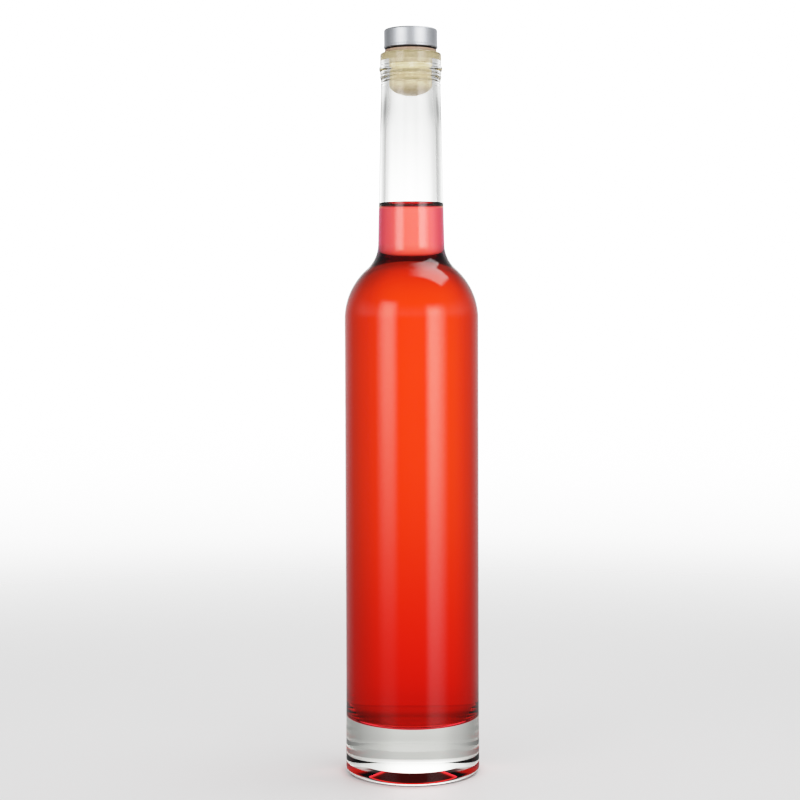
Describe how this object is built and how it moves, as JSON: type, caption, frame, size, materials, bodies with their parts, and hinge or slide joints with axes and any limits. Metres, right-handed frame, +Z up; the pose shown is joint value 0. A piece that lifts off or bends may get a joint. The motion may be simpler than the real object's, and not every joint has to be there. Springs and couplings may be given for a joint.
{
  "type": "ice wine bottle",
  "caption": "Slender clear glass dessert wine bottle with a thick base, round shoulder and long neck, filled with red wine and shut by a push-in stopper with a metal cap.",
  "frame": {"origin": "centre of the circle that the bottle stands on", "axes": "+Z up along the bottle's axis, -Y towards the viewer of the picture"},
  "size_m": [0.057, 0.057, 0.3155],
  "materials": {
    "clear_glass": "clear polished flint glass, faintly grey-green where it is thick",
    "red_wine": "clear orange-red wine, deeper red where it is thick",
    "pale_stopper": "pale beige, slightly translucent synthetic stopper",
    "satin_aluminium": "satin silver, brushed round the axis"
  },
  "bodies": {
    "root": {"glass_bottle": "clear_glass", "wine": "red_wine", "stopper_cork": "pale_stopper", "stopper_cap": "satin_aluminium"}
  },
  "joints": []
}
